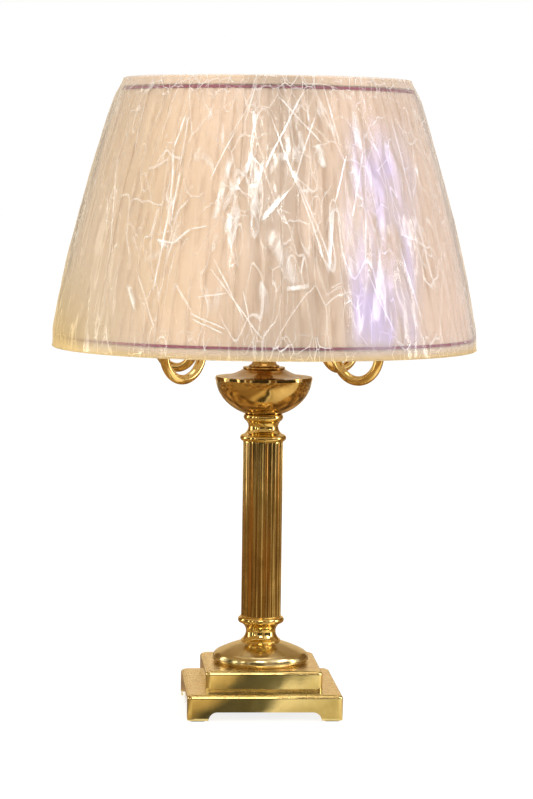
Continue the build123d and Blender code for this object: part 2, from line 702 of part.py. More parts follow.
pin_hole = SHADE_PIN_RADIUS + LIFT_GAP
finial_foot = HUB_TOP + FINIAL_FOOT_HEIGHT
finial_neck = finial_foot + FINIAL_NECK_HEIGHT
finial_ball = finial_neck + FINIAL_BALL_HEIGHT
finial_top = finial_ball + FINIAL_TIP_HEIGHT
finial_bore_top = SHADE_SEAT + SHADE_PIN_HEIGHT + LIFT_GAP
with BuildPart() as finial:
    with BuildSketch(Plane.XZ):
        with BuildLine():
            outline(
                (pin_hole, HUB_TOP),
                (FINIAL_FOOT_RADIUS, HUB_TOP),
                (FINIAL_FOOT_RADIUS, finial_foot, -FINIAL_FOOT_HEIGHT / 3),
                (FINIAL_NECK_RADIUS, finial_neck, FINIAL_HOLLOW),
                (FINIAL_TIP_RADIUS, finial_ball, -FINIAL_SWELL),
                (FINIAL_END_RADIUS, finial_top),
                (0, finial_top),
                (0, finial_bore_top),
                (pin_hole, finial_bore_top),
            )
        make_face()
    revolve(axis=Axis.Z)
pieces["finial"] = finial.part

# ------------------------------------------------------------------ shade frame
pleat_inner = -PLEAT_DEPTH - CLOTH
frame_inset = pleat_inner - WIRE_GAP - FRAME_WIRE
lining_outer = frame_inset - FRAME_WIRE - WIRE_GAP
lining_inner = lining_outer - LINING
cloth_low = SHADE_BOTTOM + BINDING + SNUG
cloth_high = SHADE_TOP - BINDING - SNUG
low_ring = cloth_low + FRAME_WIRE
high_ring = cloth_high - FRAME_WIRE
lining_high = high_ring - FRAME_WIRE - LIFT_GAP
for ring_name, level in (("shade_top_ring", high_ring), ("shade_bottom_ring", low_ring)):
    with BuildPart() as wire_ring:
        with BuildSketch(Plane.XZ):
            with Locations((skin_radius(level) + frame_inset, level)):
                Circle(FRAME_WIRE)
        revolve(axis=Axis.Z)
    pieces[ring_name] = wire_ring.part

hub_middle = SHADE_SEAT + HUB_HEIGHT / 2
spider_end = skin_radius(high_ring) + frame_inset - FRAME_WIRE - SNUG
spider_leg = spider_end - SPIDER_FOOT
with BuildPart() as spider:
    with BuildSketch(Plane.XY.offset(SHADE_SEAT)):
        Circle(HUB_RADIUS)
    extrude(amount=HUB_HEIGHT)
    for number in range(SPIDER_ARMS):
        with BuildLine(radial_plane(360 / SPIDER_ARMS * number)):
            wire_path = FilletPolyline(
                (HUB_RADIUS - SPIDER_WIRE, hub_middle),
                (spider_leg, hub_middle),
                (spider_leg, high_ring),
                (spider_end, high_ring),
                radius=SPIDER_BEND,
            )
        with BuildSketch(Plane(origin=wire_path @ 0, z_dir=wire_path % 0)):
            Circle(SPIDER_WIRE)
        sweep(path=wire_path)
    with BuildSketch(Plane.XY.offset(SHADE_SEAT - SPIDER_WIRE)):
        Circle(pin_hole)
    extrude(amount=HUB_HEIGHT + 2 * SPIDER_WIRE, mode=Mode.SUBTRACT)
    with BuildSketch(Plane.XY.offset(SHADE_SEAT - HUB_HEIGHT)):
        Circle(HUB_RADIUS - SNUG)
    extrude(amount=HUB_HEIGHT, mode=Mode.SUBTRACT)
    with BuildSketch(Plane.XY.offset(HUB_TOP)):
        Circle(HUB_RADIUS - SNUG)
    extrude(amount=HUB_HEIGHT, mode=Mode.SUBTRACT)
pieces["shade_spider"] = spider.part

with BuildPart() as shade_ribs:
    for number in range(RIBS):
        with BuildLine(radial_plane(360 / RIBS * (number + 0.5))):
            rib_path = skin_curve(low_ring + FRAME_WIRE + SNUG, high_ring - FRAME_WIRE - SNUG, frame_inset)
        with BuildSketch(Plane(origin=rib_path @ 0, z_dir=rib_path % 0)):
            Circle(RIB_WIRE)
        sweep(path=rib_path)
pieces["shade_ribs"] = shade_ribs.part

# ------------------------------------------------------------------ shade cloth
with BuildPart() as shade_lining:
    with BuildSketch(Plane.XZ):
        with BuildLine():
            skin_band(cloth_low, lining_high, lining_inner, lining_outer)
        make_face()
    revolve(axis=Axis.Z)
pieces["shade_lining"] = shade_lining.part

with BuildPart() as shade_pleats:
    for level_number in range(PLEAT_LEVELS):
        level = cloth_low + (cloth_high - cloth_low) * level_number / (PLEAT_LEVELS - 1)
        crest = skin_radius(level)
        corners = []
        for pleat in range(PLEATS):
            for share, radius in ((0, crest), (PLEAT_LEAN, crest - PLEAT_DEPTH)):
                turn = radians(360 / PLEATS * (pleat + share))
                corners.append((radius * cos(turn), radius * sin(turn)))
        with BuildSketch(Plane.XY.offset(level)):
            Polygon(*corners, align=None)
    loft(ruled=True)
    with BuildSketch(Plane.XZ):
        with BuildLine():
            hollow_side = skin_curve(cloth_low, cloth_high, pleat_inner)
            Line(hollow_side @ 1, (0, cloth_high))
            Line((0, cloth_high), (0, cloth_low))
            Line((0, cloth_low), hollow_side @ 0)
        make_face()
    revolve(axis=Axis.Z, mode=Mode.SUBTRACT)
pieces["shade_pleats"] = shade_pleats.part

# ------------------------------------------------------------------ bindings and ribbons
binding_inner = lining_inner - SNUG - BINDING
low_binding_top = SHADE_BOTTOM + BINDING_HEIGHT
with BuildPart() as bottom_binding:
    with BuildSketch(Plane.XZ) as section:
        with BuildLine():
            skin_band(SHADE_BOTTOM, low_binding_top, binding_inner, SNUG + BINDING)
        make_face()
        fillet(section.vertices().group_by(Axis.Y)[0], BINDING_ROUND)
        with BuildLine():
            skin_band(SHADE_BOTTOM + BINDING, low_binding_top + BINDING, binding_inner + BINDING, SNUG)
        make_face(mode=Mode.SUBTRACT)
    revolve(axis=Axis.Z)
pieces["bottom_binding"] = bottom_binding.part

high_binding_low = SHADE_TOP - BINDING_HEIGHT
ring_inside = frame_inset - FRAME_WIRE
with BuildPart() as top_binding:
    with BuildSketch(Plane.XZ) as section:
        with BuildLine():
            skin_band(high_binding_low, SHADE_TOP, ring_inside, SNUG + BINDING)
        make_face()
        fillet(section.vertices().group_by(Axis.Y)[-1].sort_by(Axis.X)[-1], BINDING)
        with BuildLine():
            skin_band(high_binding_low - BINDING, SHADE_TOP - BINDING, 2 * ring_inside, SNUG)
        make_face(mode=Mode.SUBTRACT)
    revolve(axis=Axis.Z)
pieces["top_binding"] = top_binding.part

for ribbon_name, ribbon_low in (
    ("bottom_ribbon", low_binding_top + RIBBON_STEP),
    ("top_ribbon", high_binding_low - RIBBON_STEP - RIBBON_WIDTH),
):
    with BuildPart() as ribbon:
        with BuildSketch(Plane.XZ):
            with BuildLine():
                skin_band(ribbon_low, ribbon_low + RIBBON_WIDTH, SNUG, SNUG + RIBBON)
            make_face()
        revolve(axis=Axis.Z)
    pieces[ribbon_name] = ribbon.part

# ------------------------------------------------------------------ protective film
film_base = SNUG + BINDING + LIFT_GAP
film_bottom = SHADE_BOTTOM - LIFT_GAP
film_top = SHADE_TOP + LIFT_GAP
with BuildPart() as shade_wrap:
    with BuildSketch(Plane.XZ) as film_section:
        with BuildLine():
            low_in = (skin_radius(film_bottom) + film_base - FILM_TURN, film_bottom)
            low_out = (skin_radius(film_bottom) + film_base, film_bottom)
            low_swell = (skin_radius(low_binding_top) + film_base + FILM_EASE, low_binding_top)
            high_swell = (skin_radius(high_binding_low) + film_base + FILM_EASE, high_binding_low)
            high_out = (skin_radius(film_top) + film_base, film_top)
            high_in = (skin_radius(film_top) + film_base - FILM_TURN, film_top)
            middle = (low_binding_top + high_binding_low) / 2
            side = (skin_radius(middle) + film_base + FILM_BULGE, middle)
            Line(low_in, low_out)
            Line(low_out, low_swell)
            ThreePointArc(low_swell, side, high_swell)
            Line(high_swell, high_out)
            Line(high_out, high_in)
            offset(amount=FILM, side=Side.RIGHT)
        make_face()
    revolve(axis=Axis.Z)
pieces["shade_wrap"] = shade_wrap.part

# ------------------------------------------------------------------ write the pieces
os.makedirs("parts", exist_ok=True)
for name, piece in pieces.items():
    piece.label = name
    export_step(piece, f"parts/{name}.step")
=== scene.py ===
import math
import bpy
from mathutils import Matrix, Vector, noise


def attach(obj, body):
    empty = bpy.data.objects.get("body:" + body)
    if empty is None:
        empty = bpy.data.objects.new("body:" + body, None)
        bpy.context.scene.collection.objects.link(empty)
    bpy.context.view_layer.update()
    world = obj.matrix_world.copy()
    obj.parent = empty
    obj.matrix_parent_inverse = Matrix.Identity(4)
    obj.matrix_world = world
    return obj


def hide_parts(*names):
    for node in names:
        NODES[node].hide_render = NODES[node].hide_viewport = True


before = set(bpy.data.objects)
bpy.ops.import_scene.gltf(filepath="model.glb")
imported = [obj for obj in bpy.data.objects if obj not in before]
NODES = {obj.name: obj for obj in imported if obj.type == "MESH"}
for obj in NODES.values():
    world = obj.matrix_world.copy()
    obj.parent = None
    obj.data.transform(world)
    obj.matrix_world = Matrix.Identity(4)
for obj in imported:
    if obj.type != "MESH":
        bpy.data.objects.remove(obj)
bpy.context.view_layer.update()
MM = 0.001

# ---------------------------------------------------------------- the shade's side, as in the model's source
SHADE_BOTTOM, SHADE_TOP = 365.2, 631.0
BOTTOM_RADIUS, TOP_RADIUS, BOW = 210.5, 141.2, 5.5
PLEATS = 84
TAPE_HEIGHT = 9.0


def skin(z):
    """Radius of the pleats' crests at height z, in millimetres."""
    share = (z - SHADE_BOTTOM) / (SHADE_TOP - SHADE_BOTTOM)
    return BOTTOM_RADIUS + (TOP_RADIUS - BOTTOM_RADIUS) * share + 4 * BOW * share * (1 - share)


def wave(a, b, c):
    """Smooth noise from -1 to 1."""
    return noise.noise(Vector((a, b, c)))


def smoothstep(low, high, value):
    t = min(max((value - low) / (high - low), 0.0), 1.0)
    return t * t * (3 - 2 * t)


# ---------------------------------------------------------------- node helpers
class Graph:
    """A material's or the world's node tree with short calls for the nodes used here."""

    def __init__(self, name, world=False):
        self.owner = (bpy.data.worlds if world else bpy.data.materials).new(name)
        self.owner.use_nodes = True
        self.tree = self.owner.node_tree
        self.tree.nodes.clear()
        self.out = self.tree.nodes.new("ShaderNodeOutputWorld" if world else "ShaderNodeOutputMaterial")
        self.coords = self.tree.nodes.new("ShaderNodeTexCoord").outputs["Object"]

    def new(self, kind, **settings):
        node = self.tree.nodes.new(kind)
        for key, value in settings.items():
            setattr(node, key, value)
        return node

    def link(self, a, b):
        self.tree.links.new(a, b)

    def put(self, socket, value):
        if isinstance(value, bpy.types.NodeSocket):
            self.link(value, socket)
        else:
            socket.default_value = value

    def stretched(self, scale=(1, 1, 1), turn=(0, 0, 0), source=None):
        node = self.new("ShaderNodeMapping")
        self.link(source or self.coords, node.inputs["Vector"])
        node.inputs["Scale"].default_value = scale
        node.inputs["Rotation"].default_value = turn
        return node.outputs[0]

    def noise(self, scale, detail=3.0, rough=0.5, where=None, warp=0.0):
        node = self.new("ShaderNodeTexNoise")
        self.link(where or self.coords, node.inputs["Vector"])
        node.inputs["Scale"].default_value = scale
        node.inputs["Detail"].default_value = detail
        node.inputs["Roughness"].default_value = rough
        node.inputs["Distortion"].default_value = warp
        return node.outputs[0]

    def cells(self, scale, where):
        """Distance to the nearest straight border between irregular cells."""
        node = self.new("ShaderNodeTexVoronoi", feature="DISTANCE_TO_EDGE")
        self.link(where, node.inputs["Vector"])
        node.inputs["Scale"].default_value = scale
        return node.outputs["Distance"]

    def bent(self, where, scale, amount):
        """Coordinates pushed about by a slow noise, so that what follows them isn't straight."""
        push = self.new("ShaderNodeTexNoise")
        self.link(where, push.inputs["Vector"])
        push.inputs["Scale"].default_value = scale
        centre = self.new("ShaderNodeVectorMath", operation="SUBTRACT")
        self.link(push.outputs[1], centre.inputs[0])
        centre.inputs[1].default_value = (0.5, 0.5, 0.5)
        add = self.new("ShaderNodeVectorMath", operation="MULTIPLY_ADD")
        self.link(centre.outputs[0], add.inputs[0])
        add.inputs[1].default_value = (amount, amount, amount)
        self.link(where, add.inputs[2])
        return add.outputs[0]

    def ramp(self, value, *stops):
        node = self.new("ShaderNodeValToRGB")
        self.link(value, node.inputs[0])
        elements = node.color_ramp.elements
        while len(elements) < len(stops):
            elements.new(0.5)
        for element, (place, colour) in zip(elements, stops):
            element.position = place
            element.color = colour if len(colour) == 4 else (*colour, 1)
        return node.outputs[0]

    def span(self, value, low, high, to_low=0.0, to_high=1.0, smooth=False):
        node = self.new("ShaderNodeMapRange")
        if smooth:
            node.interpolation_type = "SMOOTHSTEP"
        self.link(value, node.inputs[0])
        for socket, number in zip((1, 2, 3, 4), (low, high, to_low, to_high)):
            node.inputs[socket].default_value = number
        return node.outputs[0]

    def math(self, operation, a, b=0.0, c=0.0, clamp=False):
        node = self.new("ShaderNodeMath", operation=operation, use_clamp=clamp)
        for socket, value in zip(node.inputs, (a, b, c)):
            self.put(socket, value)
        return node.outputs[0]

    def mix(self, factor, a, b, blend="MIX"):
        node = self.new("ShaderNodeMix", data_type="RGBA", blend_type=blend)
        for name, value in ((0, factor), (6, a), (7, b)):
            if isinstance(value, tuple) and len(value) == 3:
                value = (*value, 1)
            self.put(node.inputs[name], value)
        return node.outputs[2]

    def axis(self, name, source=None):
        node = self.new("ShaderNodeSeparateXYZ")
        self.link(source or self.coords, node.inputs[0])
        return node.outputs[name]

    def normal_axis(self, name):
        return self.axis(name, self.new("ShaderNodeNewGeometry").outputs["Normal"])

    def bump(self, height, strength, distance, before=None):
        node = self.new("ShaderNodeBump")
        node.inputs["Strength"].default_value = strength
        node.inputs["Distance"].default_value = distance
        self.link(height, node.inputs["Height"])
        if before is not None:
            self.link(before, node.inputs["Normal"])
        return node.outputs[0]

    def surface(self, colour, rough, normal=None, **sockets):
        node = self.new("ShaderNodeBsdfPrincipled")
        self.put(node.inputs["Base Color"], (*colour, 1) if isinstance(colour, tuple) else colour)
        self.put(node.inputs["Roughness"], rough)
        for key, value in sockets.items():
            node.inputs[key.replace("_", " ")].default_value = value
        if normal is not None:
            self.link(normal, node.inputs["Normal"])
        self.link(node.outputs[0], self.out.inputs[0])
        return node

    def blend(self, factor, first, second):
        """Sends a mix of two shaders to the output."""
        node = self.new("ShaderNodeMixShader")
        self.put(node.inputs[0], factor)
        self.link(first.outputs[0], node.inputs[1])
        self.link(second.outputs[0], node.inputs[2])
        self.link(node.outputs[0], self.out.inputs[0])

    def looked_at(self):
        """1 where the picture shows the surface, straight, mirrored or through glass; 0 where it only lights."""
        rays = self.new("ShaderNodeLightPath").outputs
        shown = self.math("MAXIMUM", rays["Is Camera Ray"], rays["Is Glossy Ray"])
        return self.math("MAXIMUM", shown, rays["Is Transmission Ray"])

    def multiply(self, *values):
        product = values[0]
        for value in values[1:]:
            product = self.math("MULTIPLY", product, value)
        return product

    def highest(self, *values):
        top = values[0]
        for value in values[1:]:
            top = self.math("MAXIMUM", top, value)
        return top


# ---------------------------------------------------------------- brass
# Streak colours: painted reflections in the column's flutes. Speck colour: real specks.
REFLECTION_STREAK_BROWN, REFLECTION_STREAK_RED, SPECK_BROWN = (0.20, 0.11, 0.025), (0.66, 0.30, 0.05), (0.20, 0.11, 0.03)
# Painted sheen on what faces up: dark, tan and pale tones; the red below is real rubbed wear.
TOP_SHEEN_DARK, TOP_SHEEN_TAN, TOP_SHEEN_PALE = (0.42, 0.29, 0.11), (0.78, 0.60, 0.29), (0.95, 0.82, 0.52)
RUBBED_RED = (0.56, 0.30, 0.12)
WAVE_HEIGHT, MARK_HEIGHT = 0.0016, 0.00006


def brass(name, light, deep, rough=(0.10, 0.24), grain=0.25, streak=0.0, painted_top_sheen=False, waves=(0.16, 34)):
    """Polished, lacquered brass: tarnish in patches, fine turning marks, shallow waves and a few specks; streak
    paints vertical streaks, painted reflections. rough is the least and greatest roughness, waves their strength
    and scale; the flag for tops paints what faces up tan, a painted reflection, with rubbed wear."""
    g = Graph(name)
    patches = g.noise(28, 4, 0.6, warp=0.4)
    colour = g.ramp(patches, (0.30, deep), (0.62, light))
    # Dark and orange vertical streaks: painted reflections of the flutes.
    if streak:
        drawn = g.noise(300, 3, 0.6, g.stretched((1, 1, 0.02)))
        colour = g.mix(g.span(drawn, 0.40, 0.62, 0, streak), colour, REFLECTION_STREAK_BROWN)
        red = g.noise(120, 2, 0.5, g.stretched((1, 1, 0.05)))
        colour = g.mix(g.span(red, 0.56, 0.68, 0, 0.45), colour, REFLECTION_STREAK_RED)
    specks = g.noise(900, 2, 0.5)
    colour = g.mix(g.span(specks, 0.68, 0.76, 0, 0.6), colour, SPECK_BROWN)
    fine = g.noise(420, 4, 0.7, g.stretched((1, 1, 3.5)))
    roughness = g.span(g.noise(55, 4, 0.65), 0.35, 0.7, *rough)
    # What faces up turns tan with speckles: a painted reflection, with real rubbed wear in red.
    if painted_top_sheen:
        up = g.span(g.normal_axis("Z"), 0.80, 0.99)
        top_speckle = g.noise(1300, 3, 0.7)
        top_sheen_and_wear = g.ramp(top_speckle, (0.30, TOP_SHEEN_DARK), (0.50, TOP_SHEEN_TAN), (0.70, TOP_SHEEN_PALE))
        rub = g.noise(70, 4, 0.7, g.stretched((1, 2.5, 1)))
        top_sheen_and_wear = g.mix(g.span(rub, 0.50, 0.66, 0, 0.7), top_sheen_and_wear, RUBBED_RED)
        colour = g.mix(g.math("MULTIPLY", up, 0.8), colour, top_sheen_and_wear)
        roughness = g.math("ADD", roughness, g.math("MULTIPLY", up, 0.20))
    strength, size = waves
    ripple = g.bump(g.noise(size, 2, 0.5, g.stretched((1, 1, 0.8))), strength, WAVE_HEIGHT)
    normal = g.bump(fine, grain, MARK_HEIGHT, ripple)
    g.surface(colour, roughness, normal, Metallic=1.0, Coat_Weight=0.25, Coat_Roughness=0.08)
    return g.owner


MATERIALS = {
    "plinth": brass("plinth_brass", (0.78, 0.62, 0.26), (0.56, 0.42, 0.14),
                    rough=(0.05, 0.12), grain=0.3, painted_top_sheen=True, waves=(0.5, 24)),
    "dome": brass("dome_brass", (0.72, 0.58, 0.29), (0.48, 0.37, 0.15),
                  rough=(0.16, 0.25), grain=0.35, waves=(0.3, 20)),
    "turned": brass("turned_brass", (0.82, 0.59, 0.19), (0.54, 0.35, 0.09),
                    rough=(0.05, 0.13), grain=0.2, waves=(0.42, 42)),
    # The bowl and the cover are darker, warmer copies of the same brass: painted shade under the lamp's shade.
    "bowl": brass("bowl_brass", (0.63, 0.41, 0.13), (0.38, 0.22, 0.05),
                  rough=(0.05, 0.13), grain=0.2, waves=(0.7, 34)),
    "cover": brass("cover_brass", (0.56, 0.33, 0.09), (0.36, 0.19, 0.04),
                   rough=(0.12, 0.24), grain=0.3, waves=(0.3, 40)),
    # The column is a darker copy of the same brass: painted shade.
    "fluted": brass("fluted_brass", (0.52, 0.36, 0.12), (0.28, 0.18, 0.04),
                    rough=(0.05, 0.14), grain=0.25, streak=0.9, waves=(0.1, 34)),
    "tube": brass("tube_brass", (0.88, 0.63, 0.24), (0.66, 0.42, 0.12),
                  rough=(0.07, 0.16), grain=0.2),
}


def worn_metal(name, light, deep, rough, scale=120):
    g = Graph(name)
    colour = g.ramp(g.noise(scale, 4, 0.6), (0.3, deep), (0.7, light))
    normal = g.bump(g.noise(scale * 4, 3, 0.6), 0.2, 0.0001)
    g.surface(colour, g.span(g.noise(scale * 2), 0.3, 0.7, *rough), normal, Metallic=1.0)
    return g.owner


MATERIALS["steel"] = worn_metal("plated_steel", (0.66, 0.66, 0.63), (0.50, 0.50, 0.47), (0.28, 0.45))
MATERIALS["bulb_metal"] = worn_metal("bulb_metal", (0.80, 0.79, 0.74), (0.66, 0.64, 0.58), (0.22, 0.36))


def plain(name, light, deep, rough, scale, grain, **sockets):
    """Moulded, cast or painted surfaces: a mottled colour and a fine grain."""
    g = Graph(name)
    colour = g.ramp(g.noise(scale, 4, 0.6), (0.3, deep), (0.7, light))
    normal = g.bump(g.noise(scale * 6, 3, 0.6), grain, 0.0002)
    g.surface(colour, g.span(g.noise(scale * 1.7), 0.3, 0.7, *rough), normal, **sockets)
    return g.owner


MATERIALS["iron"] = plain("weight_iron", (0.10, 0.10, 0.10), (0.045, 0.04, 0.04), (0.6, 0.8), 160, 0.6)
MATERIALS["pad"] = plain("pad_rubber", (0.07, 0.07, 0.07), (0.035, 0.035, 0.035), (0.7, 0.85), 240, 0.5)
MATERIALS["inlet"] = plain("inlet_plastic", (0.05, 0.05, 0.05), (0.02, 0.02, 0.02), (0.45, 0.6), 300, 0.3)
MATERIALS["holder"] = plain("holder_plastic", (0.09, 0.075, 0.06), (0.05, 0.04, 0.03), (0.4, 0.55), 200, 0.3)
MATERIALS["sleeve"] = plain("ivory_sleeve", (0.88, 0.80, 0.62), (0.80, 0.70, 0.50), (0.3, 0.42), 60, 0.15,
                            Subsurface_Weight=0.15)
MATERIALS["wire"] = plain("frame_wire", (0.86, 0.83, 0.76), (0.74, 0.70, 0.62), (0.35, 0.5), 180, 0.2)
MATERIALS["liner"] = plain("shade_liner", (0.90, 0.84, 0.75), (0.84, 0.77, 0.67), (0.55, 0.7), 90, 0.25)


def bulb_glass():
    g = Graph("bulb_glass")
    haze = g.ramp(g.noise(120, 3, 0.6), (0.3, (0.90, 0.87, 0.80)), (0.7, (0.97, 0.95, 0.90)))
    clear = g.new("ShaderNodeBsdfTransparent")
    glass = g.surface(haze, g.span(g.noise(260), 0.3, 0.7, 0.10, 0.22))
    g.blend(g.span(g.noise(40), 0.3, 0.7, 0.62, 0.78), clear, glass)
    return g.owner


MATERIALS["bulb_glass"] = bulb_glass()

# ---------------------------------------------------------------- cloth
THREAD_HEIGHT, FINE_THREAD_HEIGHT = 0.0002, 0.00015
FINE_THREADS = 1400
PLEAT_DEEP, PLEAT_MIDDLE, PLEAT_LIGHT = (0.70, 0.545, 0.40), (0.78, 0.62, 0.47), (0.83, 0.67, 0.53)
# Painted light to the left and right, and painted shade in the folds.
PLEAT_LEFT_LIGHT, PLEAT_RIGHT_LIGHT, PLEAT_FOLD_SHADE = (0.72, 0.58, 0.35), (0.74, 0.58, 0.50), (0.58, 0.42, 0.28)


def cloth(name, light, deep, threads, sheen, low=None):
    """Woven cloth: crossed threads, slubs and slow shade changes; low tints the lowest few millimetres, a painted
    reflection of the brass below.
    """
    g = Graph(name)
    slow = g.noise(14, 3, 0.5)
    colour = g.ramp(slow, (0.3, deep), (0.7, light))
    slubs = g.noise(threads * 0.35, 3, 0.6, g.stretched((1, 1, 0.12)))
    colour = g.mix(g.span(slubs, 0.52, 0.70, 0, 0.35), colour, deep)
    # The lowest millimetres tinted: a painted reflection.
    if low is not None:
        edge = g.span(g.axis("Z"), 0.3660, 0.3715, 1, 0, smooth=True)
        colour = g.mix(g.math("MULTIPLY", edge, 0.8), colour, low)
    warp = g.noise(threads, 2, 0.5, g.stretched((1, 1, 0.25)))
    weft = g.noise(threads, 2, 0.5, g.stretched((0.25, 0.25, 1.2)))
    weave = g.math("ADD", warp, weft)
    normal = g.bump(weave, 0.35, THREAD_HEIGHT)
    g.surface(colour, 0.72, normal, Sheen_Weight=sheen, Sheen_Roughness=0.4)
    return g.owner


def pleated_cloth():
    """Thin shiny pleated cloth: painted shade in the folds, and painted light, greener to the left and pinker to
    the right.
    """
    g = Graph("pleated_cloth")
    slow = g.noise(9, 3, 0.5, g.stretched((1, 1, 0.35)))
    colour = g.ramp(slow, (0.30, PLEAT_DEEP), (0.5, PLEAT_MIDDLE), (0.70, PLEAT_LIGHT))
    side = g.axis("X")
    # Greener to the left and pinker to the right: painted light.
    colour = g.mix(g.span(side, -0.04, -0.19, 0, 0.6), colour, PLEAT_LEFT_LIGHT)
    colour = g.mix(g.span(side, 0.06, 0.19, 0, 0.5), colour, PLEAT_RIGHT_LIGHT)
    # Darker in the pleats' folds: painted shade.
    fold = g.new("ShaderNodeAttribute", attribute_name="fold").outputs["Fac"]
    strips = g.noise(130, 2, 0.6, g.stretched((1, 1, 0.012)))
    deep = g.math("MULTIPLY", g.span(fold, 0.55, 1.0), g.span(strips, 0.42, 0.62, 0.05, 0.75))
    colour = g.mix(deep, colour, PLEAT_FOLD_SHADE)
    warp = g.noise(FINE_THREADS, 2, 0.5, g.stretched((1, 1, 0.2)))
    weft = g.noise(FINE_THREADS, 2, 0.5, g.stretched((0.2, 0.2, 1)))
    normal = g.bump(g.math("ADD", warp, weft), 0.25, FINE_THREAD_HEIGHT)
    g.surface(colour, g.span(strips, 0.3, 0.7, 0.55, 0.7), normal, Sheen_Weight=0.12, Sheen_Roughness=0.4)
    return g.owner


MATERIALS["pleats"] = pleated_cloth()
# The binding's lowest millimetres are a warm yellow: a painted reflection of the brass below.
MATERIALS["binding"] = cloth("binding_cloth", (0.80, 0.66, 0.52), (0.70, 0.55, 0.40), 1500, 0.15,
                             low=(0.70, 0.50, 0.22))
MATERIALS["ribbon"] = cloth("ribbon_cloth", (0.36, 0.05, 0.12), (0.24, 0.03, 0.07), 2600, 0.2)


# The film's clearest creases and glints on the front, painted as highlights: from (x, z) to (x, z) and half
# the width, all in millimetres, then the strength.
CREASE_HIGHLIGHTS = (
    (-86, 593, -98, 561, 1, 1), (-98, 561, -102, 510, 1.2, 1), (-102, 510, -117, 426, 1, 1),
    (-84, 590, -93, 540, 0.75, 0.78), (-93, 540, -102, 489, 0.9, 0.91), (-114, 475, -99, 472, 1.2, 1),
    (-99, 472, -84, 486, 1.4, 1), (-84, 486, -68, 489, 0.9, 0.78), (-9, 595, 46, 445, 0.9, 0.91),
    (24, 617, -15, 542, 1, 0.91), (35, 595, 12, 528, 0.9, 0.91), (12, 528, -18, 494, 1, 0.78),
    (13, 538, 51, 449, 0.9, 0.78), (64, 558, 51, 510, 1, 0.91), (51, 510, 45, 446, 1.2, 1),
    (-21, 623, -33, 585, 0.9, 0.78), (-1, 611, 42, 566, 0.9, 0.78), (-41, 580, -65, 531, 0.9, 0.78),
    (-26, 605, -49, 570, 0.75, 0.65), (-62, 458, -34, 402, 0.9, 0.78), (-66, 450, -16, 384, 0.9, 0.78),
    (-84, 408, -49, 393, 0.75, 0.78), (-82, 403, -52, 389, 0.75, 0.78), (-79, 422, -49, 427, 0.75, 0.65),
    (-36, 431, -26, 389, 0.75, 0.65), (-149, 561, -157, 464, 0.75, 0.52), (-132, 445, -115, 389, 0.75, 0.65),
    (-141, 431, -134, 408, 1.2, 0.78), (81, 566, 68, 496, 0.75, 0.65), (110, 594, 131, 510, 0.75, 0.65),
    (131, 510, 155, 426, 0.75, 0.65), (116, 473, 139, 398, 0.75, 0.65), (81, 450, 110, 389, 0.75, 0.65),
    (23, 464, 19, 445, 0.9, 0.78), (42, 622, 58, 565, 0.75, 0.65), (-124, 608, -134, 557, 0.75, 0.52),
)
GLINTS = (
    (-44, 557, -61, 494, 3.5, 0.9), (-28, 551, -54, 502, 3.0, 0.8), (3, 520, -17, 495, 3.0, 0.9),
    (36, 567, 42, 544, 4.0, 0.7), (-10, 486, 16, 435, 8.0, 0.45), (4, 432, 26, 435, 3.0, 0.8),
    (48, 510, 45, 449, 2.5, 0.7), (19, 580, 23, 558, 3.0, 0.6), (-139, 431, -134, 412, 2.5, 0.6),
    (-112, 474, -104, 468, 3.0, 0.6), (-59, 482, -64, 464, 3.0, 0.5),
)
# Film tints besides the clear one, in order: a painted reflection of a violet lamp, painted warm light, and a
# painted reflection of the brass below.
FILM_CLEAR, FILM_LILAC_REFLECTION = (0.98, 0.96, 0.94), (0.72, 0.64, 0.98)
FILM_AMBER_LIGHT, FILM_GOLD_REFLECTION = (0.82, 0.60, 0.24), (0.84, 0.63, 0.30)
FILM_ROUGHNESS, FILM_IOR = 0.07, 1.5
GLINT_STEEPNESS = 26.0
MIDDLE_PULL = 0.05
# How much each feature adds to the glossy share of the film.
PLAIN_SHARE, RIM_SHARE, CREASE_HIGHLIGHT_SHARE, GLINT_SHARE = 0.03, 0.9, 0.82, 0.85
AMBER_LIGHT_SHARE, GOLD_REFLECTION_SHARE, LILAC_REFLECTION_SHARE = 0.44, 0.40, 0.50


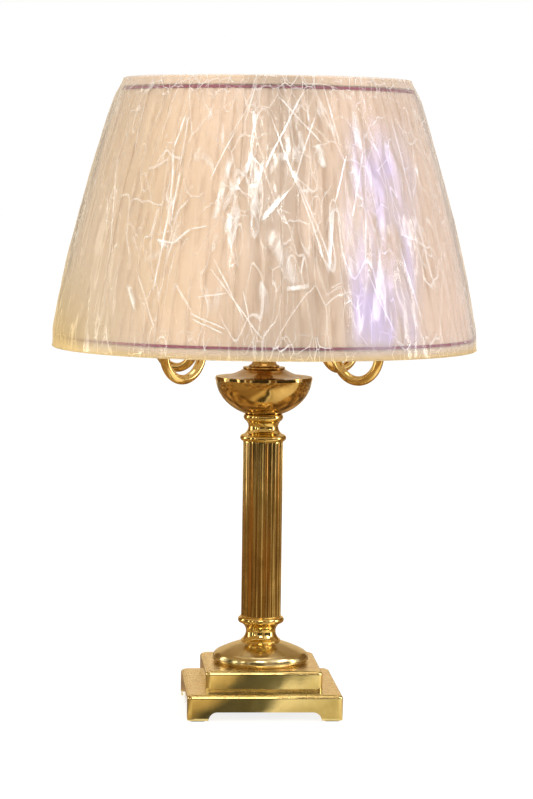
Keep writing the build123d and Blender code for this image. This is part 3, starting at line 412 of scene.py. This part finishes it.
def film():
    """Clear film: nearly all see-through, glossy, with painted highlights where it is creased, straight white
    lines and glints, and tints that paint reflections and warm light.
    """
    g = Graph("clear_film")
    across, height = g.axis("X"), g.axis("Z")
    front = g.span(g.axis("Y"), -0.02, -0.12)
    off_centre = g.math("ABSOLUTE", g.math("ADD", across, 0.01))
    middle = g.multiply(g.span(off_centre, 0.13, 0.03), front)

    def in_patches(line, scale, where, sparse, fade, strength):
        """The line, kept only where a slow noise is above sparse, more often in the middle of the front."""
        patch = g.math("MULTIPLY_ADD", middle, MIDDLE_PULL, g.noise(scale, 2, 0.5, where))
        return g.multiply(line, g.span(patch, sparse, sparse + fade, 0, strength, smooth=True))

    def creases(scale, stretch, turn, width, sparse, strength):
        """How far each point is from the long straight lines between cells, for the creases' bumps; and those
        lines in patches, as painted highlights.
        """
        where = g.bent(g.stretched((1, 1, stretch), turn), 7, 0.018)
        edge = g.cells(scale, where)
        line = g.span(edge, 0.0, width, 1, 0, smooth=True)
        return edge, in_patches(line, scale * 0.55, where, sparse, 0.10, strength)

    def loops(scale, stretch, turn, width, sparse, strength, warp=0.6):
        """Long winding lines and closed loops in patches: painted highlights."""
        where = g.stretched((1, 1, stretch), turn)
        away = g.math("ABSOLUTE", g.math("SUBTRACT", g.noise(scale, 1, 0.5, where, warp), 0.5))
        line = g.span(away, 0, width, 1, 0, smooth=True)
        return in_patches(line, scale * 0.6, where, sparse, 0.08, strength)

    nearly = g.bent(g.coords, 24, 0.004)

    def strokes(rows):
        """The brightest of several straight strokes at each point: painted highlights along creases and glints."""
        drawn = []
        for x1, z1, x2, z2, wide, strength in rows:
            place = g.new("ShaderNodeMapping", vector_type="TEXTURE")
            g.link(nearly, place.inputs["Vector"])
            place.inputs["Location"].default_value = ((x1 + x2) / 2 * MM, 0, (z1 + z2) / 2 * MM)
            place.inputs["Rotation"].default_value = (0, math.atan2(x2 - x1, z2 - z1), 0)
            place.inputs["Scale"].default_value = (wide * MM, 1, math.hypot(x2 - x1, z2 - z1) / 2 * MM)
            line = g.span(g.math("ABSOLUTE", g.axis("X", place.outputs[0])), 0.3, 1.0, strength, 0)
            ends = g.span(g.math("ABSOLUTE", g.axis("Z", place.outputs[0])), 0.7, 1.05, 1, 0)
            drawn.append(g.multiply(line, ends))
        return g.multiply(g.highest(*drawn), front)

    def shine(scale, stretch, turn, warp, lowest):
        """Glints: the tops of a stretched noise."""
        height_above = g.math("SUBTRACT", g.noise(scale, 3, 0.6, g.stretched((1, 1, stretch), turn), warp), lowest)
        return g.math("MULTIPLY", height_above, GLINT_STEEPNESS, clamp=True)

    # The cells' edges bump the film into creases; the lines, loops and strokes drawn on them are painted
    # highlights.
    long_edge, long_lines = creases(15, 0.13, (0, 0.03, 0), 0.0055, 0.48, 0.42)
    mid_edge, mid_lines = creases(27, 0.20, (0, -0.20, 0), 0.010, 0.505, 0.34)
    fine_edge, fine_lines = creases(64, 0.32, (0.1, 0.2, 0), 0.022, 0.53, 0.40)
    crumple = creases(95, 0.6, (0, 0, 0), 0.035, 0.44, 0.75)[1]
    hem = g.highest(g.span(height, 0.596, 0.622), g.span(height, 0.396, 0.376))
    uneven = g.span(g.noise(70, 2, 0.5), 0.35, 0.6, 0.55, 1)
    crease_highlight = g.highest(
        long_lines, mid_lines, fine_lines,
        loops(22, 0.09, (0, 0.04, 0), 0.0055, 0.46, 0.45, 0.1),
        loops(38, 0.12, (0, -0.30, 0.4), 0.008, 0.50, 0.4, 0.3),
        loops(34, 0.05, (0, 0.03, 0), 0.007, 0.46, 0.45),
        g.multiply(crumple, hem), g.multiply(strokes(CREASE_HIGHLIGHTS), uneven))

    lowest = g.math("MULTIPLY_ADD", middle, -0.120, 0.705)
    glint = g.highest(shine(26, 0.20, (0, -0.36, 0), 0.6, lowest), shine(40, 0.14, (0, 0.12, 0.5), 0.4, lowest))
    glint = g.multiply(glint, g.span(height, 0.405, 0.440), g.span(height, 0.612, 0.590), 0.5)
    streaks = g.span(g.noise(170, 2, 0.5, g.stretched((1, 1, 0.08), (0, -0.36, 0))), 0.35, 0.60, 0.25, 1)
    glint = g.multiply(g.highest(glint, strokes(GLINTS)), streaks)

    # A violet tint right of the middle: a painted reflection.
    from_lilac_reflection = g.math("ABSOLUTE", g.math("SUBTRACT", across, 0.098))
    lilac_reflection = g.multiply(
        g.span(from_lilac_reflection, 0.050, 0.020, smooth=True), front,
        g.span(g.noise(40, 2, 0.5, g.stretched((1, 1, 0.10))), 0.38, 0.62, 0.15, 1),
        g.span(height, 0.600, 0.540), g.span(height, 0.368, 0.385))
    # A warm tint low on the left: painted warm light.
    amber_light = g.multiply(g.span(across, -0.110, -0.200), g.span(height, 0.470, 0.375, 0.35, 1.0))
    # A warm yellow band along the bottom edge: a painted reflection of the brass below.
    gold_reflection = g.span(height, 0.3765, 0.3665)

    normal = g.bump(g.noise(14, 2, 0.5, g.stretched((1, 1, 0.35)), 0.5), 0.8, 0.0045)
    for edge, strength, depth in ((long_edge, 1.0, 0.0034), (mid_edge, 1.0, 0.0022), (fine_edge, 0.8, 0.0006)):
        normal = g.bump(edge, strength, depth, normal)
    tint = g.mix(lilac_reflection, FILM_CLEAR, FILM_LILAC_REFLECTION)
    tint = g.mix(g.multiply(amber_light, 0.9), tint, FILM_AMBER_LIGHT)
    tint = g.mix(g.multiply(gold_reflection, 0.9), tint, FILM_GOLD_REFLECTION)
    rim = g.new("ShaderNodeFresnel")
    rim.inputs["IOR"].default_value = FILM_IOR
    g.link(normal, rim.inputs["Normal"])
    share = PLAIN_SHARE
    for feature, amount in ((rim.outputs[0], RIM_SHARE), (crease_highlight, CREASE_HIGHLIGHT_SHARE), (glint, GLINT_SHARE),
                            (amber_light, AMBER_LIGHT_SHARE), (gold_reflection, GOLD_REFLECTION_SHARE), (lilac_reflection, LILAC_REFLECTION_SHARE)):
        share = g.math("MULTIPLY_ADD", feature, amount, share)
    glossy = g.surface(tint, FILM_ROUGHNESS, normal, Specular_IOR_Level=1.0)
    g.blend(g.math("MINIMUM", share, 1.0), g.new("ShaderNodeBsdfTransparent"), glossy)
    return g.owner


MATERIALS["film"] = film()

# ---------------------------------------------------------------- materials on the model's own nodes
LOOKS = {
    "plinth": ("lower_plinth", "upper_plinth"),
    "dome": ("base_dome",),
    "bowl": ("urn_bowl",),
    "cover": ("urn_cover", "neck"),
    "turned": ("lower_collar", "upper_collar", "stem", "cluster_body", "cluster_cap", "shade_stem", "shade_seat",
               "finial"),
    "fluted": ("column",),
    "tube": ("arm_", "drip_pan_"),
    "steel": ("tie_rod", "base_nut", "cluster_nut", "weight_washer"),
    "iron": ("base_weight",),
    "pad": ("foot_pads",),
    "inlet": ("cord_bushing",),
    "holder": ("lampholder_",),
    "sleeve": ("candle_sleeve_",),
    "bulb_metal": ("bulb_cap_",),
    "bulb_glass": ("bulb_glass_",),
    "wire": ("shade_spider", "shade_top_ring", "shade_bottom_ring", "shade_ribs"),
    "liner": ("shade_lining",),
    "pleats": ("shade_pleats",),
    "binding": ("bottom_binding", "top_binding"),
    "ribbon": ("bottom_ribbon", "top_ribbon"),
    "film": ("shade_wrap",),
}


def paint(obj, look):
    obj.data.materials.clear()
    obj.data.materials.append(MATERIALS[look])


for look, starts in LOOKS.items():
    for name, node in NODES.items():
        if name.startswith(starts):
            for slot in node.material_slots:
                slot.material = MATERIALS[look]


# ---------------------------------------------------------------- pieces made here
def sheet_mesh(name, rows, look, closed_profile=False):
    """A mesh from rows of points; each row runs once round the lamp and closes on itself."""
    round_count = len(rows[0])
    points = [p for row in rows for p in row]
    last = len(rows) if closed_profile else len(rows) - 1
    faces = []
    for r in range(last):
        low, high = r * round_count, (r + 1) % len(rows) * round_count
        for i in range(round_count):
            j = (i + 1) % round_count
            faces.append((low + i, low + j, high + j, high + i))
    mesh = bpy.data.meshes.new(name)
    mesh.from_pydata([(x * MM, y * MM, z * MM) for x, y, z in points], [], faces)
    mesh.validate()
    mesh.shade_smooth()
    obj = bpy.data.objects.new(name, mesh)
    bpy.context.scene.collection.objects.link(obj)
    paint(obj, look)
    return obj


def ring_row(count, place):
    """One row round the lamp: place(angle) gives (radius, height)."""
    row = []
    for i in range(count):
        angle = 2 * math.pi * i / count
        radius, z = place(angle)
        row.append((radius * math.cos(angle), radius * math.sin(angle), z))
    return row


# One knife pleat: share of its width, and how far it lies inside the crests in millimetres.
PLEAT_SHAPE = ((0.00, 0.05), (0.05, 0.25), (0.10, 1.05), (0.15, 1.90), (0.22, 2.05), (0.38, 1.85),
               (0.60, 1.25), (0.80, 0.60), (0.94, 0.15))
DEEPEST_DROP = 2.1
PLEAT_INSET, PLEAT_END = 0.15, 1.3
PLEAT_STEPS, TAPE_POINTS, FILM_POINTS, FILM_STEPS = 44, 336, 420, 56


def pleats():
    """The cloth, with pleats of uneven depth that lean to and fro; each point knows how deep in a fold it is."""
    low, high = SHADE_BOTTOM + PLEAT_END, SHADE_TOP - PLEAT_END
    rows = []
    for step in range(PLEAT_STEPS + 1):
        z = low + (high - low) * step / PLEAT_STEPS
        row = []
        for pleat in range(PLEATS):
            drift = 0.45 * wave(pleat * 0.71, z * 0.002, 3.0)
            depth = 0.46 + 0.50 * wave(pleat * 1.37, z * 0.0015, 9.0)
            for share, drop in PLEAT_SHAPE:
                turn = 2 * math.pi * (pleat + share + drift * math.sin(math.pi * share)) / PLEATS
                radius = skin(z) - PLEAT_INSET - drop * depth
                row.append((radius * math.cos(turn), radius * math.sin(turn), z))
        rows.append(row)
    obj = sheet_mesh("pleated_cloth", rows, "pleats")
    folds = [drop / DEEPEST_DROP for share, drop in PLEAT_SHAPE] * (PLEATS * (PLEAT_STEPS + 1))
    obj.data.attributes.new("fold", "FLOAT", "POINT").data.foreach_set("value", folds)
    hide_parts("shade_pleats")
    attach(obj, "shade")
    return obj


def tape(name, node, look, outline, ripple, seed):
    """A closed band that follows outline, a list of (outward from the skin, height), with slight puckers."""
    rows = []
    for out, z in outline:
        def place(angle, out=out, z=z):
            c, s = math.cos(angle) * 9, math.sin(angle) * 9
            push = ripple * wave(c * 2.2 + seed, s * 2.2, z * 0.08)
            lift = 0.35 * ripple * wave(c * 1.3, s * 1.3 + seed, 5.0)
            return skin(z) + out + push, z + lift
        rows.append(ring_row(TAPE_POINTS, place))
    obj = sheet_mesh(name, rows, look, closed_profile=True)
    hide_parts(node)
    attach(obj, "shade")
    return obj


pleated = pleats()
low, top = SHADE_BOTTOM, SHADE_BOTTOM + TAPE_HEIGHT
bottom_tape = tape("bottom_tape", "bottom_binding", "binding", [
    (0.25, top), (0.95, top + 0.05), (1.25, top - 1.0), (1.30, low + 6.2), (1.15, low + 5.4), (1.45, low + 4.4),
    (1.55, low + 2.6), (1.15, low + 1.0), (0.2, low + 0.15), (-3.0, low), (-8.2, low + 0.1), (-9.5, low + 0.9),
    (-9.9, low + 2.2), (-9.9, top - 0.3), (-9.2, top - 0.2), (-9.1, low + 2.2), (-8.4, low + 1.0),
    (-2.0, low + 0.9), (-0.2, low + 1.0), (0.3, low + 2.0), (0.35, low + 5.0)], 0.10, 3.1)
low, top = SHADE_TOP - TAPE_HEIGHT, SHADE_TOP
top_tape = tape("top_tape", "top_binding", "binding", [
    (0.25, low), (0.95, low - 0.05), (1.25, low + 1.0), (1.25, top - 4.0), (1.20, top - 2.0), (0.9, top - 0.8),
    (0.2, top - 0.1), (-3.5, top), (-7.2, top - 0.1), (-7.3, top - 0.8), (-3.5, top - 0.8), (-0.1, top - 0.9),
    (0.3, top - 1.6), (0.3, top - 5.0)], 0.10, 8.7)
for name, node, base in (("low_ribbon", "bottom_ribbon", SHADE_BOTTOM + TAPE_HEIGHT + 0.9),
                         ("high_ribbon", "top_ribbon", SHADE_TOP - TAPE_HEIGHT - 3.5)):
    tape(name, node, "ribbon", [
        (0.15, base + 0.1), (0.45, base), (0.62, base + 0.4), (0.66, base + 1.3), (0.62, base + 2.2),
        (0.45, base + 2.6), (0.15, base + 2.5)], 0.05, 5.3)


def wrap():
    """The loose clear film round the whole shade, turned in over both edges."""
    profile = [(-7.5, SHADE_BOTTOM - 0.55), (-4.0, SHADE_BOTTOM - 0.6), (0.6, SHADE_BOTTOM - 0.5),
               (2.0, SHADE_BOTTOM + 0.3)]
    for step in range(FILM_STEPS + 1):
        profile.append((None, SHADE_BOTTOM + 2.0 + (SHADE_TOP - SHADE_BOTTOM - 3.2) * step / FILM_STEPS))
    profile += [(1.9, SHADE_TOP - 0.1), (0.6, SHADE_TOP + 0.5), (-3.0, SHADE_TOP + 0.6), (-6.5, SHADE_TOP + 0.55)]
    rows = []
    for out, z in profile:
        def place(angle, out=out, z=z):
            if out is not None:
                return skin(z) + out, z
            share = (z - SHADE_BOTTOM) / (SHADE_TOP - SHADE_BOTTOM)
            body = smoothstep(0.0, 0.08, share) * (1 - smoothstep(0.92, 1.0, share))
            c, s = math.cos(angle), math.sin(angle)
            lean = angle + 0.25 * share
            folds = abs(wave(math.cos(lean) * 7, math.sin(lean) * 7, z * 0.006))
            fine = abs(wave(c * 22, s * 22, z * 0.022 + 7))
            slack = 0.5 + 0.5 * wave(c * 2.1, s * 2.1, z * 0.01 + 2)
            swell = 1.6 + body * (0.7 + 2.4 * slack + 1.6 * (1 - folds * 2) * slack + 0.8 * (1 - 2 * fine))
            return skin(z) + max(swell, 1.5), z
        rows.append(ring_row(FILM_POINTS, place))
    obj = sheet_mesh("clear_film", rows, "film")
    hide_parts("shade_wrap")
    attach(obj, "shade")


wrap()

# ---------------------------------------------------------------- floor, light and camera
PAPER_DARK, PAPER_PALE, PAPER_ROUGHNESS = (0.90, 0.90, 0.90), (0.94, 0.94, 0.94), 0.9
PAPER_GLOW, GLOW_SHARE = 1.14, 0.72
FLOOR_SIZE = 60
WHITE, SOFT_WHITE, SOFT_STRENGTH = (1, 1, 1, 1), (1.0, 0.97, 0.94, 1), 0.80

g = Graph("floor_paper")
paper = g.surface(g.ramp(g.noise(6, 2, 0.5), (0.3, PAPER_DARK), (0.7, PAPER_PALE)), PAPER_ROUGHNESS)
glow = g.new("ShaderNodeEmission")
glow.inputs[0].default_value = WHITE
glow.inputs[1].default_value = PAPER_GLOW
g.blend(g.multiply(g.looked_at(), GLOW_SHARE), paper, glow)
bpy.ops.mesh.primitive_plane_add(size=FLOOR_SIZE, location=(0, 0, 0))
floor = bpy.context.object
floor.name = "floor"
floor.data.materials.append(g.owner)

g = Graph("studio", world=True)
soft, seen = g.new("ShaderNodeBackground"), g.new("ShaderNodeBackground")
soft.inputs[0].default_value = SOFT_WHITE
soft.inputs[1].default_value = SOFT_STRENGTH
seen.inputs[0].default_value = WHITE
seen.inputs[1].default_value = 1.0
g.blend(g.looked_at(), soft, seen)
bpy.context.scene.world = g.owner


def lamp(name, place, target, size, power, colour):
    data = bpy.data.lights.new(name, "AREA")
    data.shape = "RECTANGLE"
    data.size, data.size_y = size
    data.energy = power
    data.color = colour
    obj = bpy.data.objects.new(name, data)
    obj.location = place
    obj.visible_camera = False
    obj.rotation_euler = (Vector(target) - Vector(place)).to_track_quat("-Z", "Y").to_euler()
    bpy.context.scene.collection.objects.link(obj)
    return obj


# Name, place, target, size in metres, power in watts, colour.
for row in (
        ("key_left", (-1.9, -1.7, 1.3), (0, 0, 0.42), (0.9, 1.3), 22, (1.0, 0.93, 0.82)),
        ("key_right", (1.9, -1.6, 1.1), (0, 0, 0.40), (0.5, 1.4), 18, (1.0, 0.97, 0.98)),
        ("front", (-0.12, -2.6, 1.95), (0, 0, 0.48), (0.5, 0.35), 10, (1.0, 0.96, 0.90)),
        ("high", (0.2, -0.3, 2.4), (0, 0, 0.3), (1.4, 1.4), 12, (1.0, 0.96, 0.90)),
        ("behind", (0.4, 2.7, 1.3), (0, 0, 0.40), (1.4, 1.2), 18, (1.0, 0.97, 0.92))):
    lamp(*row)
# The same, for lamps that only show as gleams on shiny surfaces.
for row in (
        ("strip_right", (1.93, -0.28, 0.45), (0, 0, 0.25), (0.30, 1.2), 9.5, (1.0, 0.97, 0.88)),
        ("strip_left", (-1.72, 0.62, 0.50), (0, 0, 0.25), (0.25, 1.1), 4.0, (1.0, 0.96, 0.86)),
        ("strip_front", (-1.84, -0.74, 0.40), (0, 0, 0.25), (0.16, 0.9), 2.2, (0.96, 1.0, 0.86)),
        ("gloss_front", (-0.16, -2.0, 1.62), (0, 0, 0.45), (0.75, 0.60), 15, (1.0, 0.97, 0.92)),
        ("gloss_lilac", (1.78, -0.86, 1.58), (0, 0, 0.45), (0.70, 1.00), 13, (0.74, 0.66, 1.0))):
    lamp(*row).visible_diffuse = False

CARD_STEPS = 36
BASE_EDGE = 0.082
CARD_ROUGHNESS = 0.9


def card(name, turn_from, turn_to, ends, shade):
    """A ring-shaped card round the lamp, from the first (radius, height) to the second. Radius 0 starts at
    the base's edge. Only shiny surfaces see it, as in a studio."""
    points, faces = [], []
    for k in range(CARD_STEPS + 1):
        turn = math.radians(turn_from + (turn_to - turn_from) * k / CARD_STEPS)
        c, s = -math.cos(turn), math.sin(turn)
        near = BASE_EDGE / max(abs(c), abs(s))
        for radius, z in ends:
            points.append(((radius or near) * s, (radius or near) * c, z))
    for k in range(CARD_STEPS):
        faces.append((2 * k, 2 * k + 2, 2 * k + 3, 2 * k + 1))
    mesh = bpy.data.meshes.new(name)
    mesh.from_pydata(points, [], faces)
    obj = bpy.data.objects.new(name, mesh)
    bpy.context.scene.collection.objects.link(obj)
    obj.data.materials.append(shade)
    obj.visible_camera = False
    obj.visible_diffuse = False
    obj.visible_shadow = False
    obj.visible_transmission = False


def card_paint(name, colour):
    g = Graph(name)
    g.surface(colour, CARD_ROUGHNESS)
    return g.owner


def floor_tones():
    """What the polished base mirrors from the floor: dark and pale patches near it, warm brown further out."""
    g = Graph("floor_tones")
    where = g.bent(g.coords, 5, 0.09)
    x, y = g.axis("X", where), g.axis("Y", where)
    wide = g.ramp(g.noise(6, 3, 0.5),
                  (0.36, (0.07, 0.045, 0.015)), (0.5, (0.30, 0.17, 0.05)), (0.64, (0.62, 0.42, 0.17)))
    band = g.ramp(g.noise(3.2, 3, 0.6, g.stretched((1.6, 1, 1))),
                  (0.42, (0.05, 0.05, 0.02)), (0.52, (0.16, 0.11, 0.04)), (0.60, (0.85, 0.80, 0.60)))
    far = g.span(g.math("ABSOLUTE", y), 1.0, 1.4)
    wide = g.mix(far, wide, band)
    side = g.math("MULTIPLY_ADD", y, 0.25, g.math("ADD", x, 0.5))
    spots = g.ramp(side, (0.30, (0.30, 0.20, 0.08)), (0.375, (0.80, 0.68, 0.42)), (0.405, (0.55, 0.42, 0.20)),
                   (0.425, (0.045, 0.045, 0.02)), (0.475, (0.11, 0.11, 0.06)), (0.492, (0.95, 0.93, 0.85)),
                   (0.535, (0.60, 0.56, 0.40)), (0.58, (0.9, 0.85, 0.70)))
    near = g.multiply(g.span(y, -0.62, -0.36), g.span(y, -0.04, -0.08))
    g.surface(g.mix(near, wide, spots), CARD_ROUGHNESS)
    return g.owner


DARK = card_paint("dark_card", (0.035, 0.028, 0.015))
BROWN = card_paint("brown_card", (0.20, 0.11, 0.035))
WARM = card_paint("warm_card", (0.36, 0.25, 0.13))
TAN = card_paint("tan_card", (0.62, 0.47, 0.26))
# From angle to angle, 0 being in front and positive to the right, then both edges as (radius, height).
CARDS = (
    (-92, -50, ((2.30, 0.0), (2.30, 1.2)), DARK), (-46, -34, ((2.20, 0.0), (2.20, 1.2)), BROWN),
    (-30, 8, ((2.30, 0.0), (2.30, 1.0)), DARK), (12, 24, ((2.20, 0.0), (2.20, 1.3)), BROWN),
    (26, 74, ((2.30, 0.0), (2.30, 1.1)), DARK), (102, 150, ((2.30, 0.0), (2.30, 1.2)), BROWN),
    (-154, -108, ((2.30, 0.0), (2.30, 1.2)), BROWN), (150, 206, ((2.32, 0.0), (2.32, 1.2)), TAN),
    (-178, 22, ((2.35, 1.2), (1.5, 2.9)), WARM), (62, 178, ((2.35, 1.2), (1.5, 2.9)), WARM),
    (-180, 180, ((0, 0.0022), (2.3, 0.0022)), floor_tones()))
for number, (start, stop, ends, shade) in enumerate(CARDS):
    card(f"card_{number}", start, stop, ends, shade)

# The camera's place and angles in degrees, fitted to the plinths, the shade's edges and the bowl.
SENSOR, FOCAL_PIXELS, PICTURE_HEIGHT = 36, 2732, 799
CAMERA_PLACE = (0, -2.732, 0.536)
LAMP_TURN, PAN, TILT, ROLL = 4.19, 0.06, 4.68, 0.74

camera_data = bpy.data.cameras.new("camera")
camera_data.lens = SENSOR * FOCAL_PIXELS / PICTURE_HEIGHT
camera_data.sensor_width = SENSOR
camera_data.clip_end = 50
camera = bpy.data.objects.new("camera", camera_data)
bpy.context.scene.collection.objects.link(camera)
bpy.context.scene.camera = camera
turned, pan, tilt, roll = (math.radians(angle) for angle in (LAMP_TURN, PAN, TILT, ROLL))
forward = Vector((math.sin(pan) * math.cos(tilt), math.cos(pan) * math.cos(tilt), -math.sin(tilt)))
right = Vector((math.cos(pan), -math.sin(pan), 0))
up = right.cross(forward)
side = right * math.cos(roll) + up * math.sin(roll)
above = -right * math.sin(roll) + up * math.cos(roll)
pose = Matrix((side, above, -forward)).transposed().to_4x4()
pose.translation = Vector(CAMERA_PLACE)
camera.matrix_world = Matrix.Rotation(-turned, 4, "Z") @ pose

bpy.context.scene.view_settings.view_transform = "Standard"
